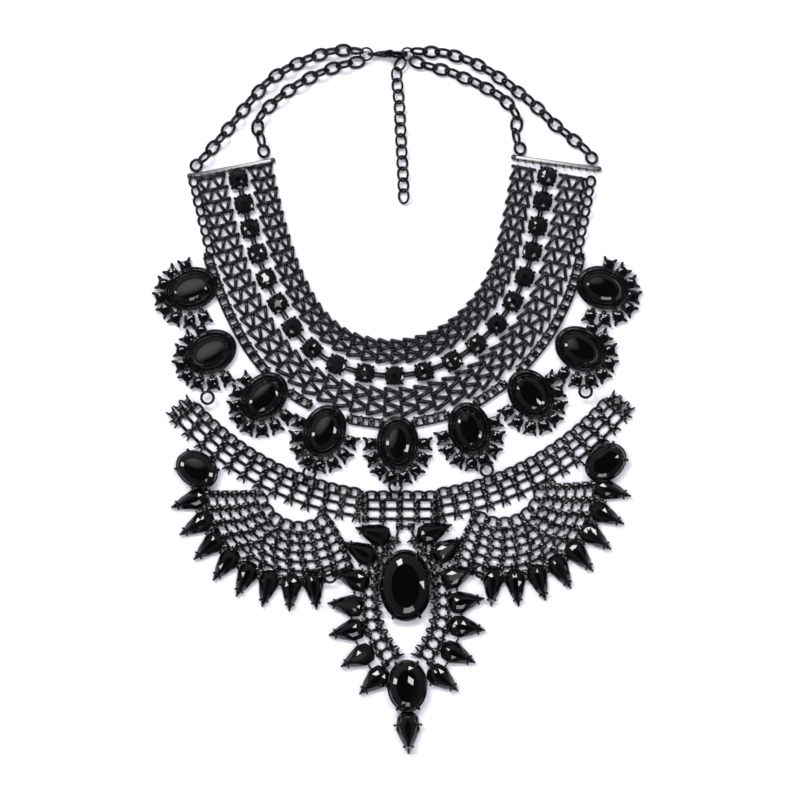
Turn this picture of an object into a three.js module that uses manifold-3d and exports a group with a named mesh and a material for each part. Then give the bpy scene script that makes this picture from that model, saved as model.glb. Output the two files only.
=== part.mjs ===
// A bib necklace lying flat, stones up: black-plated metal set with jet-black glass.
// Millimetres. +Z is up off the surface, +Y runs from the bottom drop to the clasp, and the
// origin is on the surface, at the middle of the necklace's length and width.
import * as THREE from "three";
import { mergeVertices } from "three/addons/utils/BufferGeometryUtils.js";
import Module from "manifold-3d";

const wasm = await Module();
wasm.setup();

// ---- Driving dimensions --------------------------------------------------------------

const GAP = 0.3; // air between neighbouring pieces
const WIRE = 0.95; // wire of the links and rings

// Middle of the stone channel, from the left end bar round the throat to the right one.
const CHANNEL = [
  // x, y
  [-71.6, 104.2],
  [-68.4, 90],
  [-63.6, 71],
  [-55.6, 49],
  [-43.5, 28.8],
  [-26.5, 15.6],
  [0.8, 10.5],
  [26.5, 17.6],
  [46.3, 34.2],
  [57.8, 53.5],
  [63.8, 76],
  [68.9, 103.5],
];
const CHANNEL_HALF = 4.9; // the channel's half width
const INNER_EDGE = 16.4; // from the channel's middle to the collar's neck edge
const OUTER_EDGE = 18.4; // and to the collar's outer edge
const MESH_HEIGHT = 2;

const COLLAR_STONES = 21;
const COLLAR_STONE = 8; // width of one stone with its cup
const COLLAR_STONE_HEIGHT = 4.8;
const FIRST_STONE = 5.6; // from the left bar to the first stone's middle
const LAST_STONE = 3.4; // from the last stone's middle to the right bar
const STONE_BUNCHING = 3.5; // how far the stones on each side crowd towards their bar

const BARS = {
  // left end, right end
  bar_left: [-92.7, 100.2, -54.6, 107.4],
  bar_right: [53.0, 108.8, 92.1, 103.4],
};
const BAR_THICKNESS = 2;

// A link of the chains: outer length and width, and the chain's length from link to link.
const LINK = { length: 6.9, width: 5, pitch: 5.3, height: 2.2 };
const CHAINS = {
  // Rows of x, y
  chain_left_outer: [
    [-91.3, 103.2],
    [-85.1, 109.3],
    [-79.2, 116.3],
    [-71.1, 126.2],
    [-63.9, 135.2],
    [-55.4, 144],
    [-45.5, 150],
    [-33.3, 155],
    [-24.8, 156.8],
    [-16.9, 156.6],
  ],
  chain_left_inner: [
    [-58.6, 108.7],
    [-60, 116.1],
    [-61.8, 121.4],
    [-60.4, 127],
    [-56.2, 131.8],
    [-50.6, 136.6],
    [-42.4, 142.2],
    [-31.6, 147.4],
    [-23.4, 150.2],
    [-16.3, 150.9],
  ],
  chain_right_outer: [
    [90, 106.2],
    [85.6, 112],
    [78.6, 117.9],
    [71, 124.1],
    [63.7, 131.2],
    [55.9, 137.6],
    [46.1, 145],
    [34.9, 151.4],
    [22.4, 155.4],
    [9.3, 156.1],
  ],
  chain_right_inner: [
    [57.2, 110],
    [54.4, 118.4],
    [54.6, 127],
    [50, 133.6],
    [42.5, 138.9],
    [32.4, 143.8],
    [23, 147.5],
    [15.4, 149.5],
    [8.2, 150.7],
  ],
  extension_chain: [
    [2.6, 151.6],
    [0.9, 147.4],
    [1.1, 141],
    [1.8, 134],
    [2.7, 116.6],
    [3.6, 100],
    [4, 88.7],
  ],
};

const EDGE_CHAIN = { width: 2.6, neck: 1.2, pitch: 4.7, height: 2.4, length: 32 };

const RING = { radius: 2.8, wire: 0.45, height: 2.6 }; // radii of the ring and of its wire
const CLASP_RING_X = -12.9;
const END_RING_X = 5.6;
const CLASP_Y = 155;

// A lobster clasp on its edge. Its outline is drawn along X from the tail, with Z up.
const CLASP = {
  thickness: 3.2,
  tail: [-10.35, 2.6], // middle of the tail's hole
  tailHole: 1.3,
  tailRadius: 2.1,
  hook: [2.2, 3.65], // middle of the hook's bend
  hookOutside: 3.6,
  hookInside: 2.6,
  hookTip: 75, // degrees round the bend where the hook ends
  pivot: [-2.3, 5.6],
  shoulder: 1.4, // the body's radius about the pivot
  pinRadius: 0.45,
  pinHole: 0.55,
  slot: 1.8,
  slotFloor: 4,
  leverThickness: 1.2,
  leverEye: 1.15,
};

// The nine oval medallions hang along the collar's outer edge, from left to right.
const MEDALLIONS = [
  // x, y, lean: the long axis, in degrees from +X
  [-91.4, 49.5, 20],
  [-82.8, 21.2, 28],
  [-58.8, 1.1, 48],
  [-31.7, -14.4, 69],
  [1.2, -19.8, 90],
  [33.5, -13.3, 106],
  [61, 2.3, 127],
  [83.3, 22.5, 148],
  [93.3, 50, 160],
];
const BEZEL = { long: 11.3, short: 9, height: 4.6 }; // half lengths
const SEAT = { long: 9, short: 6.6, floor: 1.6 };
const STONE = { long: 8.7, short: 6.3, girdle: 4.6, top: 7 };
const CHATONS = 8; // small square cups round a medallion's outer side
const CHATON_TURN = 27.5; // degrees from one to the next
const CHATON_RIM = { long: 16.2, short: 14.4, corner: 6.5, height: 2.6 };
const CHATON_DROP = 1.8; // the rim of chatons lies this much lower than the stone

// The lower band is a ring sector in three lengths. Angles in degrees from +X.
const BAND = { x: 1.6, y: 80.6, inner: 122.2, outer: 134.6, spike: 1.5, height: 3 };
const BAND_PARTS = {
  // from, to, spikes on the lower edge
  lower_band_left: [221, 262, 11],
  lower_band_centre: [262.3, 277.7, 4],
  lower_band_right: [278, 319.5, 11],
};

// Rings that join medallions to the lower band, and the fans to the pendant.
const HANGER = { radius: 2.8, wire: 0.5, height: 3.9 };
const HANGERS = [
  // x, y
  [-84.2, 0.6],
  [-38.4, -33.2],
  [0.2, -39.3],
  [41.2, -31.9],
  [85.6, 3.4],
  [-29.2, -79.6],
  [38.8, -77.4],
];

// A fan under each end of the lower band. The left one is drawn; the right one mirrors it.
const FANS = {
  // x, y of the middle of its inner arc, side, turn in degrees
  left: { x: -42.75, y: -39.6, side: -1, turn: 0, stone: [-89, -31.6, -33] },
  right: { x: 47.7, y: -37.8, side: 1, turn: 3.2, stone: [94.7, -28.5, 38] },
};
const FAN = {
  inner: 17,
  outer: 36.6,
  innerFrom: 196,
  outerFrom: 184,
  innerTo: 310,
  outerTo: 303,
  height: 3,
};
const PETAL = { length: 16.2, half: 3.9, height: 4.4 };
const FAN_PETALS = {
  count: 8,
  tip: 58.4, // from the fan's middle to the first tip
  shrink: 0.44, // and how much nearer each next tip is
  firstTip: 188.9,
  tipTurn: 12.7,
  firstLean: 198.3,
  leanTurn: 11.25,
};
const FAN_STONE = { long: 8.7, short: 6.3, girdle: 3.6, top: 6.4 };
const FAN_SETTING = { long: 9.7, short: 7.2, height: 3.4 };

// The pendant, about the middle of its big oval stone, and turned a little.
const PENDANT = { x: 4.7, y: -83.7, turn: 1.8 };
const KITE = { length: 15.6, half: 4.5, height: 4.6 };
const KITES = [
  // half: from the pendant's axis to the tip; up: the tip's height; lean of the left one
  { half: 21.5, up: 26.5, lean: 160 },
  { half: 26.9, up: 20.2, lean: 148 },
  { half: 31.6, up: 6.7, lean: 159 },
  { half: 35, up: -7, lean: 172 },
  { half: 34.9, up: -21.3, lean: 190 },
  { half: 30, up: -35.6, lean: 206 },
  { half: 22, up: -48.1, lean: 220 },
];
const BIG_OVAL = { long: 15, short: 11, girdle: 4.4, top: 8 };
const BIG_SETTING = { long: 15.8, short: 11.8, height: 3.6 };
const LOW_OVAL = { long: 10.6, short: 7.8, girdle: 4.2, top: 7.2, up: -45.2, side: -0.6 };
const LOW_SETTING = { long: 11.4, short: 8.6, height: 3.4 };
const TIP = { up: -57.2, side: -0.9, length: 18.4, half: 5.1, height: 5.6 };
const FRAME_HEIGHT = 2.6;
const FRAME_OUTLINE = [
  // half width, height over the big stone's middle, from the top down
  [6.2, 20.3],
  [9.6, 16.6],
  [12, 12.6],
  [13.6, 9.5],
  [15.2, 3.2],
  [16.6, -2],
  [18.8, -9],
  [18.7, -18.5],
  [15.4, -27.4],
  [11, -34.4],
  [8.4, -37.4],
];
const FRAME_OPENING = [
  // the open V between the two ovals
  [0, -31],
  [6, -23],
  [6.6, -18.8],
];

// ---- Helpers -------------------------------------------------------------------------

const METAL = { color: 0x17171b, metalness: 0.9, roughness: 0.35 };
const JET = { color: 0x050507, metalness: 0, roughness: 0.08 };

const necklace = new THREE.Group();
const metal = () => new THREE.MeshStandardMaterial(METAL);
const glass = () => new THREE.MeshStandardMaterial(JET);
const radians = THREE.MathUtils.degToRad;

function add(name, geometry, material, parent = necklace) {
  const mesh = new THREE.Mesh(geometry, material);
  mesh.name = name;
  parent.add(mesh);
  return mesh;
}

// A smooth curve through a table's rows of x, y.
function route(rows) {
  const points = rows.map(([x, y]) => new THREE.Vector3(x, y, 0));
  const curve = new THREE.CatmullRomCurve3(points, false, "centripetal");
  curve.arcLengthDivisions = 600;
  return curve;
}

// The place a distance along a curve, and another to its left, on the plan.
function beside(curve, distance, left) {
  const share = THREE.MathUtils.clamp(distance / curve.getLength(), 0, 1);
  const point = curve.getPointAt(share);
  const along = curve.getTangentAt(share);
  return new THREE.Vector2(point.x - along.y * left, point.y + along.x * left);
}

// Positions and faces as one closed body, with its faces turned outwards.
function closedBody(points, faces) {
  const volume = faces.reduce((sum, [a, b, c]) => {
    const normal = points[b].clone().cross(points[c]);
    return sum + points[a].dot(normal);
  }, 0);
  const outward = volume < 0 ? faces.map(([a, b, c]) => [a, c, b]) : faces;
  const geometry = new THREE.BufferGeometry().setFromPoints(points);
  geometry.setIndex(outward.flat());
  return geometry;
}

// A skin over loops of points, one after the other, closed at both ends.
function loft(loops) {
  const size = loops[0].length;
  const points = loops.flat();
  const faces = [];
  for (let k = 0; k + 1 < loops.length; k++) {
    for (let i = 0; i < size; i++) {
      const a = k * size + i;
      const b = k * size + ((i + 1) % size);
      faces.push([a, b, b + size], [a, b + size, a + size]);
    }
  }
  const cap = (first, turned) => {
    const loop = points.slice(first, first + size);
    const middle = loop.reduce((sum, p) => sum.add(p), new THREE.Vector3());
    const hub = points.push(middle.divideScalar(size)) - 1;
    for (let i = 0; i < size; i++) {
      const a = first + i;
      const b = first + ((i + 1) % size);
      faces.push(turned ? [b, a, hub] : [a, b, hub]);
    }
  };
  cap(0, true);
  cap((loops.length - 1) * size, false);
  return closedBody(points, faces);
}

// A strip along a curve. Each station has a distance along, the left and right edges, the
// two heights, and how much narrower the top is on each side.
function strip(curve, stations) {
  const loops = stations.map(({ at, left, right, low, high, narrow = 0 }) => {
    const corner = (side, z) => {
      const p = beside(curve, at, side);
      return new THREE.Vector3(p.x, p.y, z);
    };
    return [
      corner(left, low),
      corner(right, low),
      corner(right + narrow, high),
      corner(left - narrow, high),
    ];
  });
  return loft(loops);
}

function ellipse(long, short, count, z) {
  return Array.from({ length: count }, (_, i) => {
    const turn = (2 * Math.PI * i) / count;
    return new THREE.Vector3(long * Math.cos(turn), short * Math.sin(turn), z);
  });
}

// A flat plate of an outline, with holes right through it.
function plate(outline, low, high, holes = []) {
  const clockwise = THREE.ShapeUtils.isClockWise(outline);
  const shape = new THREE.Shape(clockwise ? [...outline].reverse() : outline);
  shape.holes = holes.map((hole) => new THREE.Path(hole));
  const depth = high - low;
  const geometry = new THREE.ExtrudeGeometry(shape, { depth, bevelEnabled: false });
  return geometry.translate(0, 0, low);
}

function polar(x, y, radius, degrees) {
  const turn = radians(degrees);
  return new THREE.Vector2(x + radius * Math.cos(turn), y + radius * Math.sin(turn));
}

function solid(geometry) {
  const bare = geometry.clone();
  bare.deleteAttribute("normal");
  bare.deleteAttribute("uv");
  const merged = mergeVertices(bare, 1e-4);
  const vertProperties = new Float32Array(merged.attributes.position.array);
  const triVerts = new Uint32Array(merged.index.array);
  return new wasm.Manifold(new wasm.Mesh({ numProp: 3, vertProperties, triVerts }));
}

function geometryOf(body) {
  const { vertProperties, triVerts } = body.getMesh();
  const geometry = new THREE.BufferGeometry();
  geometry.setAttribute("position", new THREE.BufferAttribute(vertProperties, 3));
  geometry.setIndex(new THREE.BufferAttribute(triVerts, 1));
  return geometry;
}

const joined = (geometries) =>
  geometryOf(geometries.map(solid).reduce((whole, piece) => whole.add(piece)));

// ---- Collar --------------------------------------------------------------------------

const channel = route(CHANNEL);
const channelLength = channel.getLength();
const BAR_CLEARANCE = BAR_THICKNESS / 2 + 4 * GAP;

// A mesh band beside the channel: a paved strip from bar to bar.
function meshBand(near, far, steps) {
  const reach = channelLength - 2 * BAR_CLEARANCE;
  return strip(
    channel,
    Array.from({ length: steps + 1 }, (_, i) => ({
      at: BAR_CLEARANCE + (reach * i) / steps,
      left: Math.max(near, far),
      right: Math.min(near, far),
      low: 0,
      high: MESH_HEIGHT,
    })),
  );
}

function collarStonePlace(index) {
  const pitch = (channelLength - FIRST_STONE - LAST_STONE) / (COLLAR_STONES - 1);
  const crowding = STONE_BUNCHING * Math.sin((2 * Math.PI * index) / (COLLAR_STONES - 1));
  return FIRST_STONE + pitch * index - crowding;
}

// The stones of the channel on their thread: octagonal domes joined by short bars.
function collarStones() {
  const half = COLLAR_STONE / 2;
  const stations = [];
  const station = (at, edge, high, narrow) =>
    stations.push({ at, left: edge, right: -edge, low: 0, high, narrow });
  for (let k = 0; k < COLLAR_STONES; k++) {
    const at = collarStonePlace(k);
    station(at - half, half * 0.42, COLLAR_STONE_HEIGHT / 3, 0.3);
    station(at - half * 0.45, half, COLLAR_STONE_HEIGHT, half / 2);
    station(at + half * 0.45, half, COLLAR_STONE_HEIGHT, half / 2);
    station(at + half, half * 0.42, COLLAR_STONE_HEIGHT / 3, 0.3);
  }
  return strip(channel, stations);
}

// The chain of rings down the collar's free outer edge, from its bar.
function edgeChain(fromEnd) {
  const { width, neck, pitch, height, length } = EDGE_CHAIN;
  const middle = -(OUTER_EDGE + GAP + width / 2);
  const stations = [];
  for (let at = BAR_CLEARANCE; at < length; at += pitch / 2) {
    const half = (stations.length % 2 ? width : neck) / 2;
    const place = fromEnd ? channelLength - at : at;
    stations.push({ at: place, left: middle + half, right: middle - half, low: 0, high: height });
  }
  return strip(channel, stations);
}

function bar([x0, y0, x1, y1]) {
  const length = Math.hypot(x1 - x0, y1 - y0);
  const radius = BAR_THICKNESS / 2 / Math.cos(Math.PI / 8);
  const rod = new THREE.CylinderGeometry(radius, radius, length, 8);
  rod.rotateY(Math.PI / 8);
  rod.rotateZ(-Math.PI / 2);
  rod.rotateZ(Math.atan2(y1 - y0, x1 - x0));
  return rod.translate((x0 + x1) / 2, (y0 + y1) / 2, BAR_THICKNESS / 2);
}

add("mesh_inner", meshBand(CHANNEL_HALF + GAP, INNER_EDGE, 26), metal());
add("mesh_outer", meshBand(-CHANNEL_HALF - GAP, -OUTER_EDGE, 26), metal());
add("collar_stones", collarStones(), glass());
add("edge_chain_left", edgeChain(false), metal());
add("edge_chain_right", edgeChain(true), metal());
Object.entries(BARS).forEach(([name, ends]) => add(name, bar(ends), metal()));

// ---- Chains and rings ----------------------------------------------------------------

// Links joined along their thread: every other link lies flat with its hole showing, and
// the one between stands on edge.
function linkedChain(rows) {
  const curve = route(rows);
  const pairs = Math.round(curve.getLength() / (2 * LINK.pitch));
  const pairLength = curve.getLength() / pairs;
  const half = LINK.width / 2;
  const left = [];
  const right = [];
  const holes = [];
  for (let k = 0; k < pairs; k++) {
    const middle = (k + 0.5) * pairLength;
    const end = LINK.length / 2;
    const first = k === 0 ? -middle : -end;
    const last = k === pairs - 1 ? curve.getLength() - middle : end;
    const sides = [
      [first, WIRE / 2],
      [-end * 0.5, half],
      [end * 0.5, half],
      [last, WIRE / 2],
    ];
    sides.forEach(([along, out]) => {
      left.push(beside(curve, middle + along, out));
      right.push(beside(curve, middle + along, -out));
    });
    const hole = [
      [-end + WIRE, 0],
      [-end * 0.4, half - WIRE],
      [end * 0.4, half - WIRE],
      [end - WIRE, 0],
      [end * 0.4, WIRE - half],
      [-end * 0.4, WIRE - half],
    ];
    holes.push(hole.map(([along, out]) => beside(curve, middle + along, out)));
  }
  return plate([...left, ...right.reverse()], 0, LINK.height, holes);
}

function flatRing(radius, wire, x, y, z) {
  return new THREE.TorusGeometry(radius, wire, 5, 12).translate(x, y, z);
}

Object.entries(CHAINS).forEach(([name, rows]) => add(name, linkedChain(rows), metal()));
const ringAt = (x) => flatRing(RING.radius, RING.wire, x, CLASP_Y, RING.height);
add("clasp_ring", ringAt(CLASP_RING_X), metal());
add("end_ring", ringAt(END_RING_X), metal());
HANGERS.forEach(([x, y], k) => {
  const ring = flatRing(HANGER.radius, HANGER.wire, x, y, HANGER.height);
  add(`hanger_ring_${k + 1}`, ring, metal());
});

// ---- Clasp ---------------------------------------------------------------------------

// Stands an outline drawn in X and height on edge, as thick as given.
function onEdge(outline, thickness, holes = []) {
  const piece = plate(outline, -thickness / 2, thickness / 2, holes);
  return piece.rotateX(Math.PI / 2).translate(0, CLASP_Y, 0);
}

function circle(x, y, radius, count) {
  return Array.from({ length: count }, (_, i) => polar(x, y, radius, (360 * i) / count));
}

function arc(x, y, radius, from, to, count) {
  return Array.from({ length: count + 1 }, (_, i) =>
    polar(x, y, radius, from + ((to - from) * i) / count),
  );
}

// The body: a tail eye, a belly and a hook, with a slot for the lever and its pin.
function claspBody() {
  const [tailX, tailZ] = CLASP.tail;
  const [hookX, hookZ] = CLASP.hook;
  const [pivotX, pivotZ] = CLASP.pivot;
  const outline = [
    ...arc(tailX, tailZ, CLASP.tailRadius, 60, 290, 6),
    new THREE.Vector2(-6.5, 0.2),
    ...arc(hookX, hookZ, CLASP.hookOutside, 270, 360 + CLASP.hookTip, 9),
    ...arc(hookX, hookZ, CLASP.hookInside, CLASP.hookTip, -180, 12),
    ...arc(pivotX, pivotZ, CLASP.shoulder, -20, 110, 5),
  ];
  const hole = circle(tailX, tailZ, CLASP.tailHole, 12);
  const body = solid(onEdge(outline, CLASP.thickness, [hole]));
  const slotFrom = pivotX - CLASP.leverEye - 2 * GAP;
  const slotLength = hookX - slotFrom;
  const slot = new THREE.BoxGeometry(slotLength, CLASP.slot, slotLength);
  slot.translate(slotFrom + slotLength / 2, CLASP_Y, CLASP.slotFloor + slotLength / 2);
  const pin = onEdge(circle(pivotX, pivotZ, CLASP.pinRadius, 12), CLASP.thickness - GAP);
  return geometryOf(body.subtract(solid(slot)).add(solid(pin)));
}

// The lever: an eye on the pin, a gate that reaches the hook's end, and a thumb tab.
function claspLever() {
  const [x, z] = CLASP.pivot;
  const outline = [
    ...arc(x, z, CLASP.leverEye, 105, 305, 7),
    new THREE.Vector2(x + 5.1, z - 0.4),
    new THREE.Vector2(x + 4.2, z + 0.7),
    new THREE.Vector2(x + 1.9, z + 0.9),
    new THREE.Vector2(x + 1.3, z + 2.2),
    new THREE.Vector2(x + 0.5, z + 2.2),
  ];
  const hole = circle(x, z, CLASP.pinHole, 12);
  return onEdge(outline, CLASP.leverThickness, [hole]);
}

add("clasp_body", claspBody(), metal());
add("clasp_lever", claspLever(), metal());

// ---- Medallions ----------------------------------------------------------------------

// A faceted oval stone: flat back, girdle and table.
function ovalStone({ long, short, girdle, top }, back) {
  return loft([
    ellipse(long * 0.8, short * 0.8, 12, back),
    ellipse(long, short, 12, girdle),
    ellipse(long * 0.58, short * 0.58, 12, top),
  ]);
}

const ovalRadius = (long, short, degrees) =>
  (long * short) / Math.hypot(short * Math.cos(radians(degrees)), long * Math.sin(radians(degrees)));

// The medallion's foot, about the stone's middle: a toothed rim of chatons on the side
// away from the neck, and the plain bezel on the other. The long axis is local X.
function medallionOutline(lean) {
  const drop = new THREE.Vector2(0, -CHATON_DROP).rotateAround(new THREE.Vector2(), -radians(lean));
  const outline = [];
  const rim = CHATON_RIM;
  for (let k = 0; k < CHATONS; k++) {
    const middle = 180 + (k - (CHATONS - 1) / 2) * CHATON_TURN;
    const valley = middle - CHATON_TURN / 2;
    const low = ovalRadius(BEZEL.long, BEZEL.short, valley) + 1.2;
    outline.push(polar(drop.x, drop.y, low, valley));
    [middle - rim.corner, middle + rim.corner].forEach((turn) =>
      outline.push(polar(drop.x, drop.y, ovalRadius(rim.long, rim.short, turn), turn)),
    );
  }
  const plainPoints = 4;
  const plainFrom = 180 + (CHATONS / 2) * CHATON_TURN;
  const plainTurn = (360 - CHATONS * CHATON_TURN) / plainPoints;
  for (let k = 0; k < plainPoints; k++) {
    const turn = plainFrom + plainTurn * (k + 0.5);
    outline.push(polar(0, 0, ovalRadius(BEZEL.long, BEZEL.short, turn), turn));
  }
  return outline;
}

function medallionSetting(lean) {
  const outline = medallionOutline(lean);
  const foot = (z) => outline.map((p) => new THREE.Vector3(p.x, p.y, z));
  const oval = (size, z) =>
    outline.map((p) => {
      const turn = THREE.MathUtils.radToDeg(Math.atan2(p.y, p.x));
      const place = polar(0, 0, ovalRadius(size.long, size.short, turn), turn);
      return new THREE.Vector3(place.x, place.y, z);
    });
  return loft([
    foot(0),
    foot(CHATON_RIM.height),
    oval({ long: BEZEL.long - 0.8, short: BEZEL.short - 0.8 }, BEZEL.height),
    oval(SEAT, BEZEL.height - 0.6),
    oval(SEAT, SEAT.floor),
  ]);
}

MEDALLIONS.forEach(([x, y, lean], k) => {
  const medallion = new THREE.Group();
  medallion.position.set(x, y, 0);
  medallion.rotation.z = radians(lean);
  const stone = ovalStone(STONE, SEAT.floor + GAP);
  add(`medallion_setting_${k + 1}`, medallionSetting(lean), metal(), medallion);
  add(`medallion_stone_${k + 1}`, stone, glass(), medallion);
  necklace.add(medallion);
});

// ---- Lower band ----------------------------------------------------------------------

// A length of the band, with a row of prong spikes along its lower edge.
function bandPart([from, to, spikes]) {
  const { x, y, inner, outer, spike, height } = BAND;
  const turn = (to - from) / spikes;
  const lower = [];
  for (let k = 0; k < spikes; k++) {
    lower.push(polar(x, y, outer, from + turn * (k + 0.1)));
    lower.push(polar(x, y, outer + spike, from + turn * (k + 0.5)));
    lower.push(polar(x, y, outer, from + turn * (k + 0.9)));
  }
  return plate([...lower, ...arc(x, y, inner, to, from, spikes)], 0, height);
}

Object.entries(BAND_PARTS).forEach(([name, row]) => add(name, bandPart(row), metal()));

// ---- Pointed stones ------------------------------------------------------------------

// A pointed stone with its tip at a place and its lean: the way from its foot to its tip.
function pointedStone({ length, half, height }, tip, lean, low) {
  const foot = polar(tip.x, tip.y, -length, lean);
  const outline = (share, z) =>
    [
      [length, 0],
      [length * 0.36, half],
      [length * 0.14, half * 0.85],
      [0, half * 0.35],
      [0, -half * 0.35],
      [length * 0.14, -half * 0.85],
      [length * 0.36, -half],
    ].map(([along, across]) => {
      const u = length * 0.4 + (along - length * 0.4) * share;
      const p = new THREE.Vector2(foot.x + u, foot.y + across * share);
      p.rotateAround(foot, radians(lean));
      return new THREE.Vector3(p.x, p.y, z);
    });
  return loft([outline(1, low), outline(1, height * 0.55), outline(0.5, height)]);
}

// A shallow strip that carries a row of stones.
function rail(points, half, high) {
  const curve = route(points.map((p) => [p.x, p.y]));
  const steps = 2 * points.length;
  const stations = Array.from({ length: steps + 1 }, (_, i) => ({
    at: (curve.getLength() * i) / steps,
    left: half,
    right: -half,
    low: 0,
    high,
  }));
  return strip(curve, stations);
}

// ---- Fans ----------------------------------------------------------------------------

// An angle of the left fan, mirrored for the right one.
const fanAngle = (fan, degrees) => (fan.side < 0 ? degrees : 180 - degrees) + fan.turn;

function fanPlate(fan) {
  const point = (radius, degrees) => polar(fan.x, fan.y, radius, fanAngle(fan, degrees));
  const along = (radius, from, to, count) =>
    Array.from({ length: count + 1 }, (_, i) => point(radius, from + ((to - from) * i) / count));
  const outline = [
    ...along(FAN.inner, FAN.innerFrom, FAN.innerTo, 12),
    ...along(FAN.outer, FAN.outerTo, FAN.outerFrom, 16),
  ];
  return plate(outline, 0, FAN.height);
}

function fanPetals(fan) {
  const row = FAN_PETALS;
  const pieces = [];
  const feet = [];
  for (let k = 0; k < row.count; k++) {
    const turn = fanAngle(fan, row.firstTip + row.tipTurn * k);
    const lean = fanAngle(fan, row.firstLean + row.leanTurn * k);
    const tip = polar(fan.x, fan.y, row.tip - row.shrink * k, turn);
    pieces.push(pointedStone(PETAL, tip, lean, GAP));
    feet.push(polar(tip.x, tip.y, -PETAL.length * 0.82, lean));
  }
  return joined([rail(feet, 1.1, 1.5), ...pieces]);
}

// An oval cup for a stone, with its seat left open above.
function ovalSetting({ long, short, height }, stone) {
  return loft([
    ellipse(long - 0.5, short - 0.5, 12, 0),
    ellipse(long, short, 12, height),
    ellipse(stone.long + GAP, stone.short + GAP, 12, height),
    ellipse(stone.long * 0.8 + GAP, stone.short * 0.8 + GAP, 12, 0.8),
  ]);
}

function ovalPair(names, size, stone, x, y, lean) {
  const group = new THREE.Group();
  group.position.set(x, y, 0);
  group.rotation.z = radians(lean);
  add(names[0], ovalSetting(size, stone), metal(), group);
  add(names[1], ovalStone(stone, 0.8 + GAP), glass(), group);
  necklace.add(group);
}

Object.entries(FANS).forEach(([side, fan]) => {
  add(`fan_${side}`, fanPlate(fan), metal());
  add(`fan_${side}_petals`, fanPetals(fan), glass());
  const names = [`fan_${side}_setting`, `fan_${side}_stone`];
  ovalPair(names, FAN_SETTING, FAN_STONE, ...fan.stone);
});

// ---- Pendant -------------------------------------------------------------------------

const centre = new THREE.Vector2(PENDANT.x, PENDANT.y);

// A place on the pendant, from its offset to the side and up.
function onPendant(side, up) {
  const place = new THREE.Vector2(centre.x + side, centre.y + up);
  return place.rotateAround(centre, radians(PENDANT.turn));
}

// The pierced frame that carries the kites, with the big oval's seat and the open V.
function pendantFrame() {
  const right = FRAME_OUTLINE.map(([half, up]) => onPendant(half, up));
  const left = FRAME_OUTLINE.map(([half, up]) => onPendant(-half, up)).reverse();
  const clear = 2 * GAP;
  const lowTop = LOW_OVAL.up + LOW_SETTING.long + clear;
  const hollow = [-50, -25, 0, 25, 50].map((turn) =>
    onPendant(
      LOW_OVAL.side - (LOW_SETTING.short + clear) * Math.sin(radians(turn)),
      lowTop - (LOW_SETTING.long + clear) * (1 - Math.cos(radians(turn))),
    ),
  );
  const seat = ellipse(BIG_SETTING.long + clear, BIG_SETTING.short + clear, 18, 0).map((p) =>
    onPendant(-p.y, p.x),
  );
  const sides = FRAME_OPENING.map(([half, up]) => onPendant(half, up));
  const mirrored = FRAME_OPENING.slice(1).map(([half, up]) => onPendant(-half, up));
  const opening = [...sides, ...mirrored.reverse()];
  return plate([...right, ...hollow, ...left], 0, FRAME_HEIGHT, [seat, opening]);
}

function pendantKites(side) {
  const pieces = [];
  const feet = [];
  KITES.forEach(({ half, up, lean }) => {
    const tip = onPendant(side * half, up);
    const turn = (side < 0 ? lean : 180 - lean) + PENDANT.turn;
    pieces.push(pointedStone(KITE, tip, turn, GAP));
    feet.push(polar(tip.x, tip.y, -KITE.length * 0.7, turn));
  });
  return joined([rail(feet, 1.2, 1.5), ...pieces]);
}

function pendantOval(names, size, stone, side, up) {
  const place = onPendant(side, up);
  ovalPair(names, size, stone, place.x, place.y, 90 + PENDANT.turn);
}

add("pendant_frame", pendantFrame(), metal());
add("pendant_kites_left", pendantKites(-1), glass());
add("pendant_kites_right", pendantKites(1), glass());
pendantOval(["pendant_setting", "pendant_stone"], BIG_SETTING, BIG_OVAL, 0, 0);
pendantOval(["low_setting", "low_stone"], LOW_SETTING, LOW_OVAL, LOW_OVAL.side, LOW_OVAL.up);
const tipPoint = onPendant(TIP.side, TIP.up - TIP.length);
add("bottom_drop", pointedStone(TIP, tipPoint, 270 + PENDANT.turn, 0), glass());

export default necklace;
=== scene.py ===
"""The looks of a bib necklace that lies flat: black-plated links, bezels and prongs, and jet glass.

Lengths are in millimetres until a piece is made. X, Y and Z are the part's own axes.
"""

import math
import random

import bpy
import numpy as np
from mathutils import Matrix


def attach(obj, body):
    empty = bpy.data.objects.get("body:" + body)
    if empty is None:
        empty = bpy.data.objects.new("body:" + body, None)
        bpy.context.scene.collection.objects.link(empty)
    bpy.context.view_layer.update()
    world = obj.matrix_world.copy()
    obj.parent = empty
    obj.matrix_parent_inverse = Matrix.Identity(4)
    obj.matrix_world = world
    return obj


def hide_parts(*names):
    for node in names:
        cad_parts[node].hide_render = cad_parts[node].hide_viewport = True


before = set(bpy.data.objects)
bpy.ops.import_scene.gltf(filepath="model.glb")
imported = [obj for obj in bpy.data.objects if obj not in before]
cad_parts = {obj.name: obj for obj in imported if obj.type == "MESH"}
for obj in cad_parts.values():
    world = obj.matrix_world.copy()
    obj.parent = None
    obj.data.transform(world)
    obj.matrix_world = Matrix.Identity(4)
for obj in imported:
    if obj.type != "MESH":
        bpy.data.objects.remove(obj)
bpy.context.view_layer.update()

MM = 0.001
UP = np.array([0.0, 0.0, 1.0])
SEED = 7

# ---- Tables shared with the solids ---------------------------------------------------

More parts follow.
